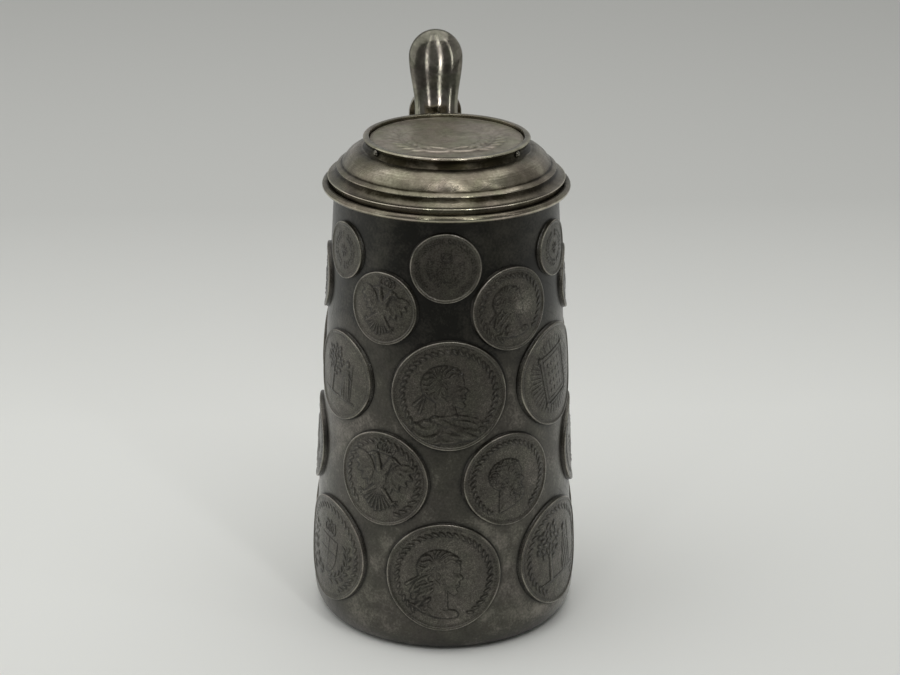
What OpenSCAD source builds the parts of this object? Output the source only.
// Lidded silver tankard: a tapered drum set with bent coins, a stepped lid with a medal,
// a five-knuckle hinge, a club-shaped thumbpiece and an ear handle.
// Millimetres. The drum stands on z = 0 with its axis on Z, and the handle points along +Y.

/* [Drum] */
// Radius that the straight wall would have at the table
foot_r = 49; // [45:0.5:60]
// Lean of the wall from upright, in degrees
taper = 3.31; // [1:0.01:5]
// Thickness of the drum's sheet
wall = 1.2; // [0.8:0.1:2.5]
// Width of the curve that draws the wall in at the table
foot_round = 5.4; // [2.8:0.1:7]
// Height of that curve
foot_rise = 10; // [4:0.5:14]
// Width of the flange that the wall is turned in to at the table
foot_turn = 7; // [4:0.5:14]
// Thickness of the base plate that lies on that flange
base_t = 1.6; // [0.8:0.1:3]
// Clear wall between the top row of coins and the lip, measured from the coins' centres
lip_drop = 16.6; // [15:0.1:30]

/* [Coins] */
// Places round the drum of the top row's coins, in degrees from the front
row_a_at = [0, 65, 120, 240, 302]; // [0:1:359]
// Radii of the top row's coins
row_a_r = [12.3, 10, 11, 11.5, 10.1]; // [8:0.1:15]
// Places of the second row's coins
row_b_at = [33, 90, 150, 210, 270, 329]; // [0:1:359]
// Radii of the second row's coins
row_b_r = [14.9, 11.6, 13, 12.5, 11.8, 13]; // [8:0.1:18]
// Places of the third row's coins
row_c_at = [2, 61, 120, 180, 240, 303]; // [0:1:359]
// Radii of the third row's coins
row_c_r = [20, 18.6, 17, 18, 19, 16.2]; // [12:0.1:22]
// Places of the fourth row's coins
row_d_at = [30, 90, 150, 210, 270, 331]; // [0:1:359]
// Radii of the fourth row's coins
row_d_r = [17.1, 16.5, 16, 17, 15.9, 17.4]; // [12:0.1:21]
// Places of the bottom row's coins, which leave room for the handle
row_e_at = [0, 59, 120, 240, 300]; // [0:1:359]
// Radii of the bottom row's coins
row_e_r = [20.4, 19.9, 19.5, 20, 19.6]; // [12:0.1:23]
// Least clear metal between one row and the next, from the bottom pair up
row_gap = [4.5, 2.6, 2.8, 1.8]; // [0.5:0.1:8]
// Clear metal between the table and the bottom row
coin_margin = 9.7; // [5:0.1:20]
// Turn of the whole coin pattern about the drum, in degrees
coin_turn = -5; // [-15:1:15]
// Thickness of a coin's field
coin_t = 1; // [0.8:0.1:3]
// Height of a coin's raised rim above its field
coin_rim_h = 0.3; // [0.1:0.1:0.8]
// Width of a coin's raised rim
coin_rim_w = 1.1; // [0.6:0.1:2]
// Film of solder that a coin or a plate lies on
film = 0.12; // [0.1:0.01:0.2]

/* [Lid] */
// Overhang of the lid's beaded edge past the lip
lid_over = 4.2; // [3:0.1:8]
// Radius of the bead round the lid's edge
bead_r = 1.3; // [1:0.1:1.7]
// Thickness of the flange that lies on the lip
flange_t = 1.5; // [1:0.1:1.9]
// Thickness of the lid's sheet
sheet = 1.1; // [0.7:0.1:1.6]
// Step in from the bead to the throat of the groove above it
throat_in = 2.8; // [2:0.1:4]
// Step in from the bead to the lower band
band_in = 1.9; // [1.2:0.1:2.4]
// Height of the lower band above the lip
band_z = 4.2; // [3.4:0.1:6]
// Height of the upright edge on either band
band_h = 0.45; // [0.3:0.05:0.8]
// Width of the cove between the two bands
cove_w = 3.2; // [2:0.1:5]
// Height of the cove between the two bands
cove_h = 2.9; // [2:0.1:4]
// Step in from the upper band to the shoulder
shoulder_in = 1.8; // [1:0.1:4]
// Rise from the upper band to the shoulder
shoulder_rise = 1; // [0.6:0.1:2]
// Width of the sloping shoulder
shoulder_w = 7.8; // [6:0.1:12]
// Height of the sloping shoulder
shoulder_h = 5.8; // [4:0.1:12]
// Swell of the shoulder out of the straight
shoulder_swell = 0.85; // [0:0.05:1.5]
// Depth of the guide ring inside the drum's mouth
guide_h = 4; // [2:0.1:8]
// Clearance of the guide ring in the mouth
guide_gap = 0.6; // [0.5:0.05:1]

/* [Medal] */
// Thickness of the medal's field
medal_t = 2.5; // [1.5:0.1:3]
// Height of the medal's raised rim
medal_rim_h = 0.4; // [0.2:0.1:0.8]
// Width of the medal's raised rim
medal_rim_w = 1.2; // [0.8:0.1:2]
// Depth of the medal's rim below the top of its bezel
medal_sink = 1; // [0.4:0.1:1.6]
// Wall of the bezel round the medal, at its foot
bezel_w = 1.8; // [1.4:0.1:3]
// Hollow of the bezel's outer side
bezel_hollow = 0.55; // [0.2:0.05:0.8]
// Flare of the bezel's top past its foot
bezel_flare = 0.25; // [0:0.05:0.6]
// Place of the bezel's two front pins, in degrees to each side of the front
pin_side = 57; // [30:1:90]
// Radius of a pin's shank
pin_shank_r = 0.45; // [0.3:0.05:0.6]
// Radius of a pin's head
pin_head_r = 1.15; // [0.65:0.05:1.3]

/* [Hinge] */
// Width of the hinge
hinge_w = 19.6; // [15:0.1:26]
// Outer radius of the knuckles
knuckle_r = 3.6; // [3:0.1:4.5]
// Radius of the hinge pin
hinge_pin_r = 1.5; // [1:0.05:1.8]
// Clearance of the pin in its bores
pin_fit = 0.05; // [0.02:0.01:0.1]
// Clearance between neighbouring knuckles, and round each of them
knuckle_gap = 0.35; // [0.3:0.05:0.6]
// Height of the hinge's axis above the lip
hinge_up = 4; // [3:0.1:6]
// Clear space between the lid's bead and the knuckles
hinge_back = 2.4; // [2:0.1:4]
// Height of the leaf's flat top above the hinge's axis
leaf_top = 5.8; // [5.4:0.1:7]
// Reach of the hinge's post and leaf behind its axis
hinge_tail = 2; // [1.5:0.1:2.4]
// Height of a domed button on the end of the hinge pin
button_h = 1.6; // [0.8:0.1:2.5]

/* [Thumbpiece] */
// Height of the thumbpiece above the hinge's leaf
thumb_h = 34.8; // [28:0.1:50]
// Half width of its stem
thumb_stem_w = 7.9; // [6:0.1:9]
// Half thickness of its stem
thumb_stem_t = 4; // [3:0.1:4.5]
// Half width of its round head
thumb_head_w = 9.95; // [8:0.05:13]
// Half thickness of its round head
thumb_head_t = 5; // [4.5:0.1:8]
// Lean of the head behind the stem's foot
thumb_lean = 6; // [0:0.1:7]
// How late the stem bends back above its brace, from 1 for a straight slant
thumb_bend = 1.4; // [1:0.1:2.5]
// Radius of the arched brace behind the stem
brace_r = 9.8; // [8.5:0.1:11]
// Thickness of the brace
brace_t = 2.4; // [1.5:0.1:3]
// Height of the brace's straight sides above the leaf
brace_side = 3.4; // [2:0.1:8]

/* [Handle] */
// Drop of the handle's upper end below the lip
handle_drop = 13; // [11:0.5:20]
// Height of the handle's lower end above the table
handle_low = 40; // [32:0.5:50]
// Height of the handle's furthest point above the table
handle_mid = 110; // [90:1:125]
// Reach of the handle's middle line from the drum's axis
handle_out = 84; // [75:0.5:100]
// Half width of the handle at its upper end
handle_top_w = 8.6; // [6:0.1:9.5]
// Half width of the handle at its lower end
handle_low_w = 6; // [4:0.1:7]
// Thickness of the handle's rounded back at its upper end
handle_top_t = 5; // [3:0.1:6]
// Thickness of the handle's rounded back at its lower end
handle_low_t = 3.8; // [2.5:0.1:5]
// Thickness of the handle's finger side, as a part of its back
handle_flat = 0.7; // [0.4:0.05:1]
// Thickness of the pad under the handle's lower end
pad_t = 3; // [2:0.1:5]
// Radius of that round pad on the wall
pad_r = 11; // [9:0.1:14]
// Radius of the flat face that takes the handle
pad_face_r = 7.8; // [7.5:0.1:8.5]

/* [Hidden] */
ROW_NAMES = ["a", "b", "c", "d", "e"];
ROW_AT = [row_a_at, row_b_at, row_c_at, row_d_at, row_e_at];
ROW_R = [row_a_r, row_b_r, row_c_r, row_d_r, row_e_r];
LAST_ROW = len(ROW_NAMES) - 1;

// Outer radius of the drum's straight wall at height z
function wall_r(z) = foot_r - z * tan(taper);
// A distance square to the wall, as a step in radius
function across(d) = d / cos(taper);
// Angle between two places round the drum
function between(a, b) = let (d = abs(a - b) % 360) min(d, 360 - d);
// Least rise that keeps the coins of row k their gap clear of the coins of row m, which are at height z
function rise(k, m, z) = max([
    for (i = [0:len(ROW_AT[k]) - 1])
        for (j = [0:len(ROW_AT[m]) - 1])
            let (aside = wall_r(z) * between(ROW_AT[k][i], ROW_AT[m][j]) * PI / 180)
            let (apart = ROW_R[k][i] + ROW_R[m][j] + row_gap[LAST_ROW - 1 - k])
            aside < apart ? sqrt(apart * apart - aside * aside) : 0
]);
// Height of row k's coin centres, clear of all the rows below
function row_z(k) =
    k == LAST_ROW ? coin_margin + max(ROW_R[LAST_ROW])
                  : max([for (m = [k + 1:LAST_ROW]) let (below = row_z(m)) below + rise(k, m, below)]);

// Points on an arc of an ellipse
function arc(c, rx, ry, from, to, n = 8) =
    [for (i = [0:n]) let (a = from + (to - from) * i / n) c + [rx * cos(a), ry * sin(a)]];
// Points on a chord that swells to its right by the given height
function swelled(a, b, swell, n = 8) =
    let (u = (b - a) / norm(b - a))
    [for (i = [0:n]) let (s = i / n) a + (b - a) * s + 4 * s * (1 - s) * swell * [u[1], -u[0]]];
// Point and heading at s on a cubic curve with four control points
function on_curve(c, s) =
    pow(1 - s, 3) * c[0] + 3 * s * pow(1 - s, 2) * c[1] + 3 * s * s * (1 - s) * c[2] + s * s * s * c[3];
function heading(c, s) =
    let (d = pow(1 - s, 2) * (c[1] - c[0]) + 2 * s * (1 - s) * (c[2] - c[1]) + s * s * (c[3] - c[2]))
    d / norm(d);
// Ease from 0 to 1
function ease(s) = let (t = min(1, max(0, s))) t * t * (3 - 2 * t);

// Drum and lip
foot_lean = atan(foot_rise / foot_round * tan(taper));
foot_c = wall_r(foot_rise * (1 + sin(foot_lean))) - foot_round * cos(foot_lean);
lip_z = row_z(0) + lip_drop;
lip_r = wall_r(lip_z);

// Lid, from the lip up
edge_r = lip_r + lid_over;
bead_c = edge_r - bead_r;
throat_r = edge_r - throat_in;
band_r = edge_r - band_in;
band_at = lip_z + band_z;
upper_r = band_r - cove_w;
upper_at = band_at + cove_h + band_h;
shoulder_r = upper_r - shoulder_in;
shoulder_at = upper_at + shoulder_rise + band_h;
crown_r = shoulder_r - shoulder_w;
crown_z = shoulder_at + shoulder_h;
cove_lip = 0.3;
cove_c = [band_r, upper_at];
cove_out = cove_w + cove_lip;
shoulder_top = [crown_r, crown_z];
shoulder_foot = [shoulder_r, shoulder_at];
SHOULDER = swelled(shoulder_top, shoulder_foot, -shoulder_swell);
slope = (shoulder_foot - shoulder_top) / norm(shoulder_foot - shoulder_top);
inward = [slope[1], -slope[0]];
// Outline of the lid's cap from its foot up to the crown
CAP = concat(
    [[throat_r, lip_z + flange_t], [throat_r, band_at], [band_r, band_at]],
    arc(cove_c, cove_out, cove_h, 270, 180),
    [[upper_r, upper_at], [upper_r, upper_at + band_h]],
    [for (i = [len(SHOULDER) - 1:-1:0]) SHOULDER[i]]
);
// The same outline a sheet's thickness further in, from the crown down
throat_turn = 180 + acos((band_r - throat_r + sheet) / (cove_out + sheet));
CAP_IN = concat(
    [for (p = SHOULDER) let (q = p + inward * sheet) [q[0], min(q[1], crown_z - sheet)]],
    arc(cove_c, cove_out + sheet, cove_h + sheet, 180, throat_turn),
    [[throat_r - sheet, lip_z + flange_t]]
);
guide_out = lip_r - across(wall) - guide_gap;
guide_in = guide_out - sheet;

// Medal and bezel
bezel_foot = crown_r;
bezel_in = bezel_foot - bezel_w;
medal_r = bezel_in - film;
medal_top = crown_z + medal_t + medal_rim_h;
bezel_top = medal_top + medal_sink;
bezel_out = bezel_foot + bezel_flare;
bezel_lip = 0.5;
bezel_side = bezel_top - bezel_lip - crown_z;
// Radius of the bezel's hollow side at height z
function bezel_r(z) =
    let (s = (z - crown_z) / bezel_side) bezel_foot + bezel_flare * s - 4 * s * (1 - s) * bezel_hollow;
pin_z = crown_z + bezel_side / 2;
pin_seat = bezel_r(pin_z + pin_head_r) + film;
pin_head_h = 0.5;

// Hinge
hinge_y = edge_r + hinge_back + knuckle_r;
hinge_z = lip_z + hinge_up;
KNUCKLES = 5;
knuckle_l = (hinge_w - (KNUCKLES - 1) * knuckle_gap) / KNUCKLES;
room_r = knuckle_r + knuckle_gap;
tail_y = hinge_y + hinge_tail;
leaf_z = hinge_z + leaf_top;
leaf_under = bead_r * 2 + knuckle_gap;
bracket_top = lip_z - 2 * knuckle_gap;
post_y = edge_r + 2 * knuckle_gap;
button_r = knuckle_r * 0.75;

// Thumbpiece
brace_y = tail_y - brace_t;
thumb_y = brace_y - film - thumb_stem_t;
brace_top = brace_side + brace_r;
thumb_neck = brace_top / 2;
LOFT_SIDES = 28;

// Handle
handle_z = lip_z - handle_drop;
pad_y = wall_r(handle_low - pad_r) + film + pad_t;
bracket_low = handle_z - handle_top_t * handle_flat - 1;
bracket_root = bracket_low - hinge_w / 2;
bracket_edge = 0.8;
leaf_corner = 4;
UPPER_CURVE = [[tail_y, handle_z], [tail_y + 19, handle_z], [handle_out, handle_mid + 24],
               [handle_out, handle_mid]];
LOWER_CURVE = [[handle_out, handle_mid], [handle_out, handle_mid - 32], [pad_y + 21, handle_low],
               [pad_y, handle_low]];
HANDLE_RINGS = 14;

// Every coin as its name, height, place and radius
COINS = [
    for (k = [0:LAST_ROW])
        for (i = [0:len(ROW_AT[k]) - 1])
            [str("coin_", ROW_NAMES[k], "_", i + 1), row_z(k), ROW_AT[k][i] + coin_turn, ROW_R[k][i]]
];

$fn = 96;
SILVER = [0.56, 0.54, 0.5];
DARK_SILVER = [0.3, 0.29, 0.28];
COIN_SILVER = [0.42, 0.4, 0.37];
POLISHED = [0.66, 0.65, 0.63];

// Solid of revolution of an outline of radius and height
module turned(outline) {
    rotate_extrude() polygon(outline);
}

// The space inside the drum's outer wall, pushed out square to the wall by d
module wall_solid(d, from, to) {
    turned([[0, from], [wall_r(from) + across(d), from], [wall_r(to) + across(d), to], [0, to]]);
}

// Closed skin over a stack of rings with equally many points
module loft(rings) {
    n = len(rings[0]);
    m = len(rings);
    sides = [
        for (j = [0:m - 2])
            for (i = [0:n - 1])
                let (a = j * n + i, b = j * n + (i + 1) % n)
                each [[a, b, b + n], [a, b + n, a + n]]
    ];
    low = [for (i = [0:n - 1]) i];
    high = [for (i = [n - 1:-1:0]) (m - 1) * n + i];
    polyhedron([for (r = rings) each r], concat([low], [high], [for (f = sides) [f[0], f[2], f[1]]]), 8);
}

// Rod along X through the hinge's axis
module hinge_rod(r, from, to) {
    translate([from, hinge_y, hinge_z]) rotate([0, 90, 0]) cylinder(r = r, h = to - from);
}

// Near end of knuckle k along X
function knuckle_x(k) = -hinge_w / 2 + k * (knuckle_l + knuckle_gap);

// Outline in the YZ plane carried across the hinge's width
module across_hinge(outline) {
    translate([-hinge_w / 2, 0, 0]) rotate([90, 0, 90]) linear_extrude(hinge_w) polygon(outline);
}

// Tapered sheet wall, turned in at the table to a flange that carries the base plate
module drum() {
    inner_lean = atan((foot_rise - wall) / (foot_round - wall) * tan(taper));
    color(DARK_SILVER) turned(concat(
        [[foot_c - foot_turn, 0]],
        arc([foot_c, foot_rise], foot_round, foot_rise, -90, foot_lean, 14),
        [[lip_r, lip_z], [lip_r - across(wall), lip_z]],
        arc([foot_c, foot_rise], foot_round - wall, foot_rise - wall, inner_lean, -90, 14),
        [[foot_c - foot_turn, wall]]
    ));
}

module base_plate() {
    color(SILVER) translate([0, 0, wall]) cylinder(r = foot_c - film, h = base_t);
}

// Coin bent to the drum's wall, with its rim standing above its field
module coin(z, at, r) {
    reach = 3 * (coin_t + coin_rim_h);
    low = z - r - reach;
    high = z + r + reach;
    color(COIN_SILVER) rotate([0, 0, at]) difference() {
        intersection() {
            wall_solid(film + coin_t + coin_rim_h, low, high);
            coin_bore(z, r, reach);
        }
        wall_solid(film, low - reach, high + reach);
        difference() {
            coin_bore(z, r - coin_rim_w, 2 * reach);
            wall_solid(film + coin_t, low - reach, high + reach);
        }
    }
}

// Straight cylinder square to the wall at height z, from inside the drum out to the given reach
module coin_bore(z, r, reach) {
    translate([0, -wall_r(z), z]) rotate([90 - taper, 0, 0]) translate([0, 0, -wall_r(z) / 2])
        cylinder(r = r, h = wall_r(z) / 2 + reach);
}

// Round-ended tongue across the hinge's width, from the bracket's root up
module bracket_tongue() {
    round = hinge_w / 2;
    rotate([-90, 0, 0]) translate([0, -bracket_root - round, 0]) cylinder(r = round, h = 2 * tail_y);
    translate([-round, 0, bracket_root + round]) cube([hinge_w, 2 * tail_y, hinge_z]);
}

// Cast bracket: tongue on the wall, socket face for the handle, and the three fixed knuckles
module hinge_bracket() {
    web = knuckle_r * 0.8;
    edge_y = wall_r(bracket_root) + film + bracket_edge;
    color(SILVER) difference() {
        union() {
            intersection() {
                across_hinge(concat(
                    [[lip_r / 2, bracket_root]],
                    arc([tail_y, bracket_root], tail_y - edge_y, bracket_low - bracket_root, 180, 90),
                    [[tail_y, hinge_z - knuckle_r / 2], [hinge_y - web, hinge_z - knuckle_r / 2],
                     [post_y, bracket_top], [lip_r / 2, bracket_top]]
                ));
                bracket_tongue();
            }
            for (k = [0:2:KNUCKLES - 1])
                hinge_rod(knuckle_r, knuckle_x(k), knuckle_x(k) + knuckle_l);
        }
        wall_solid(film, bracket_root - 1, bracket_top + 1);
        for (k = [1:2:KNUCKLES - 1])
            hinge_rod(room_r, knuckle_x(k) - knuckle_gap, knuckle_x(k) + knuckle_l + knuckle_gap);
        hinge_rod(hinge_pin_r + pin_fit, -hinge_w, hinge_w);
    }
}

module hinge_pin() {
    color(POLISHED) hinge_rod(hinge_pin_r, -hinge_w / 2, hinge_w / 2);
}

// Domed button on each end of the hinge pin
module hinge_pin_buttons() {
    color(POLISHED) for (side = [-1, 1])
        translate([side * hinge_w / 2, hinge_y, hinge_z]) rotate([0, side * 90, 0])
            turned(concat([[0, 0], [button_r, 0]], arc([0, button_h / 3], button_r, button_h * 2 / 3, 0, 90)));
}

// Ring of the handle's section at point p of its middle line, square to heading h
function handle_ring(p, h, w, t) = [
    for (i = [0:LOFT_SIDES - 1])
        let (a = 360 * i / LOFT_SIDES)
        let (off = t * sin(a) * (sin(a) > 0 ? 1 : handle_flat))
        [w * cos(a), p[0] - h[1] * off, p[1] + h[0] * off]
];
// Rings along one of the handle's two curves, whose share of the taper runs from s0 to s1
function handle_rings(curve, s0, s1, first) = [
    for (i = [first:HANDLE_RINGS])
        let (s = i / HANDLE_RINGS, way = s0 + (s1 - s0) * s)
        handle_ring(on_curve(curve, s), heading(curve, s),
                    handle_top_w + (handle_low_w - handle_top_w) * way,
                    handle_top_t + (handle_low_t - handle_top_t) * way)
];

// Ear handle with a rounded back and a flatter finger side
module handle_grip() {
    color(SILVER) loft(concat(handle_rings(UPPER_CURVE, 0, 0.5, 0), handle_rings(LOWER_CURVE, 0.5, 1, 1)));
}

// Turned pad with a hollow edge and an upright face that takes the handle's lower end
module handle_pad() {
    edge = pad_t * 0.75;
    color(SILVER) difference() {
        translate([0, pad_y, handle_low]) rotate([90, 0, 0]) turned(concat(
            [[0, 0]],
            arc([pad_r, 0], pad_r - pad_face_r, edge, 180, 90),
            [[pad_r, pad_y / 2], [0, pad_y / 2]]
        ));
        wall_solid(film, handle_low - pad_r - 1, handle_low + pad_r + 1);
    }
}

// Flat ring on the lip with a bead round its edge
module lid_flange() {
    turn_end = 180 - asin((flange_t - bead_r) / bead_r);
    color(SILVER) turned(concat(
        [[guide_in, lip_z]],
        arc([bead_c, lip_z + bead_r], bead_r, bead_r, -90, turn_end, 14),
        [[guide_in, lip_z + flange_t]]
    ));
}

// Spun cap: groove, two bands with a cove between, swelled shoulder and flat crown
module lid_cap() {
    color(SILVER) turned(concat(CAP, [[0, crown_z], [0, crown_z - sheet]], CAP_IN));
}

module lid_guide_ring() {
    color(SILVER) turned([[guide_in, lip_z - guide_h], [guide_out, lip_z - guide_h],
                          [guide_out, lip_z], [guide_in, lip_z]]);
}

// Place a pin's shape round the bezel, with its length pointing outwards
module round_bezel() {
    for (turn = [pin_side, 180, -pin_side])
        rotate([0, 0, turn + coin_turn]) translate([0, 0, pin_z]) rotate([90, 0, 0]) children();
}

// Collar round the medal, hollowed outside and drilled for the pins
module medal_bezel() {
    color(SILVER) difference() {
        turned(concat(
            [[bezel_in, crown_z]],
            swelled([bezel_foot, crown_z], [bezel_out, bezel_top - bezel_lip], -bezel_hollow),
            arc([bezel_out - bezel_lip, bezel_top - bezel_lip], bezel_lip, bezel_lip, 0, 90),
            [[bezel_in, bezel_top]]
        ));
        round_bezel() cylinder(r = pin_shank_r + pin_fit, h = 2 * bezel_foot);
    }
}

module bezel_pins() {
    color(POLISHED) round_bezel() {
        translate([0, 0, bezel_in]) cylinder(r = pin_shank_r, h = pin_seat - bezel_in);
        translate([0, 0, pin_seat]) cylinder(r1 = pin_head_r, r2 = pin_shank_r, h = pin_head_h);
    }
}

module lid_medal() {
    field = medal_r - medal_rim_w;
    color(COIN_SILVER) turned([
        [0, crown_z], [medal_r, crown_z], [medal_r, medal_top], [field, medal_top],
        [field, crown_z + medal_t], [0, crown_z + medal_t]
    ]);
}

// Plan of the leaf from y = front back, with its two front corners rounded
module leaf_plan(front) {
    side = hinge_w / 2 - leaf_corner;
    for (x = [-side, side])
        translate([x, front + leaf_corner, lip_z]) cylinder(r = leaf_corner, h = leaf_z);
    translate([-side, front, lip_z]) cube([2 * side, tail_y, leaf_z]);
    translate([-hinge_w / 2, front + leaf_corner, lip_z]) cube([hinge_w, tail_y, leaf_z]);
}

// Lid's leaf: a strap that fits over the lid's moulded edge, and the two moving knuckles
module lid_hinge_leaf() {
    front = upper_r;
    seat = [for (p = CAP) p + [film, 0]];
    color(SILVER) difference() {
        union() {
            difference() {
                intersection() {
                    across_hinge([
                        [front, lip_z + leaf_under], [hinge_y - knuckle_r, lip_z + leaf_under],
                        [hinge_y, hinge_z], [tail_y, hinge_z], [tail_y, leaf_z], [front, leaf_z]
                    ]);
                    leaf_plan(front);
                }
                for (k = [0:2:KNUCKLES - 1])
                    hinge_rod(room_r, knuckle_x(k) - knuckle_gap, knuckle_x(k) + knuckle_l + knuckle_gap);
                for (k = [1:2:KNUCKLES - 1])
                    hinge_rod(knuckle_r / 2, knuckle_x(k), knuckle_x(k) + knuckle_l);
            }
            for (k = [1:2:KNUCKLES - 1])
                hinge_rod(knuckle_r, knuckle_x(k), knuckle_x(k) + knuckle_l);
        }
        turned(concat([[0, lip_z]], [[throat_r + film, lip_z]], seat, [[0, crown_z]]));
        hinge_rod(hinge_pin_r + pin_fit, -hinge_w, hinge_w);
    }
}

// Half width of the thumbpiece, or half thickness, at height h, growing from the height where its neck starts
function thumb_half(stem, head, h, neck) =
    stem + (head - stem) * ease((h - neck) / (thumb_h - thumb_head_w - neck));
// Oval ring of the thumbpiece at height h, drawn in by the given part
function thumb_ring(h, part) =
    let (w = thumb_half(thumb_stem_w, thumb_head_w, h, thumb_neck) * part)
    let (t = thumb_half(thumb_stem_t, thumb_head_t, h, brace_top) * part)
    let (y = thumb_y + thumb_lean * pow(max(0, h - brace_top) / (thumb_h - brace_top), thumb_bend))
    [for (i = [0:LOFT_SIDES - 1]) let (a = 360 * i / LOFT_SIDES) [w * cos(a), y + t * sin(a), leaf_z + h]];

// Club-shaped lever: a flat oval stem that grows into a round head
module thumbpiece() {
    neck = thumb_h - thumb_head_w;
    steps = 10;
    stem = [for (i = [0:steps]) thumb_ring(neck * i / steps, 1)];
    cap = [for (i = [1:steps]) let (b = 84 * i / steps) thumb_ring(neck + thumb_head_w * sin(b), cos(b))];
    color(POLISHED) loft([for (ring = concat(stem, cap)) [for (i = [LOFT_SIDES - 1:-1:0]) ring[i]]]);
}

// Arched plate that backs the thumbpiece on the leaf
module thumbpiece_brace() {
    color(POLISHED) translate([0, tail_y, leaf_z]) rotate([90, 0, 0]) linear_extrude(brace_t) {
        translate([0, brace_side]) intersection() {
            circle(r = brace_r);
            translate([-brace_r, 0]) square([2 * brace_r, brace_r]);
        }
        translate([-brace_r, 0]) square([2 * brace_r, brace_side]);
    }
}

drum();
base_plate();
hinge_bracket();
hinge_pin();
hinge_pin_buttons();
handle_grip();
handle_pad();
lid_flange();
lid_cap();
lid_guide_ring();
medal_bezel();
bezel_pins();
lid_medal();
lid_hinge_leaf();
thumbpiece();
thumbpiece_brace();
for (c = COINS) coin(c[1], c[2], c[3]);
